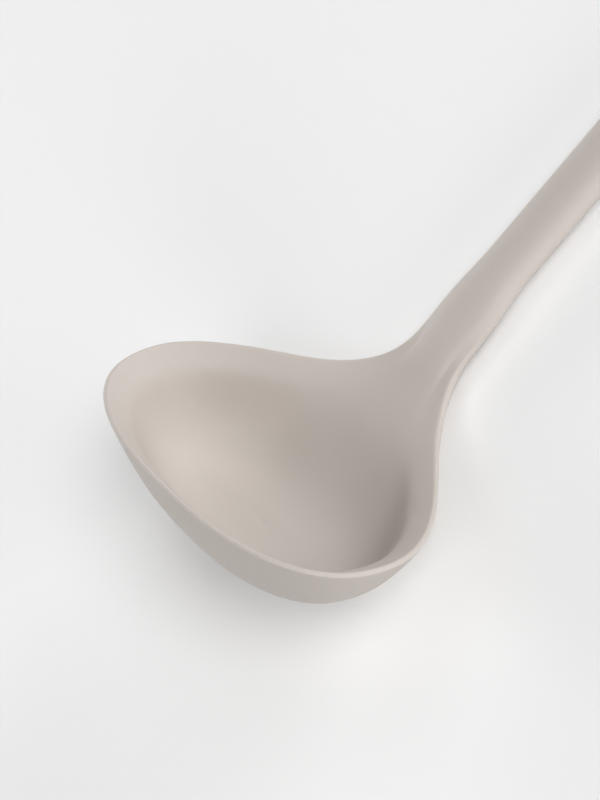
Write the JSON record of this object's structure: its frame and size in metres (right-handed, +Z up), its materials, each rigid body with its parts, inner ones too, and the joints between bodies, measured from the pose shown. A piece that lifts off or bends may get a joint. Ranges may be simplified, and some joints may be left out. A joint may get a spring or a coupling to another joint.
{
  "type": "ladle",
  "caption": "Soup ladle moulded in one piece: a wide bowl with a bevelled lip, a flared neck and a slim oval handle, lying at rest.",
  "frame": {"origin": "middle of the bounding box, on the table that the ladle lies on", "axes": "+Z up from the table, +Y along the handle from the bowl to the tip, +X across the bowl"},
  "size_m": [0.095, 0.3002, 0.0529],
  "materials": {
    "silicone": "matte"
  },
  "bodies": {
    "root": {"ladle": "silicone"}
  },
  "joints": []
}
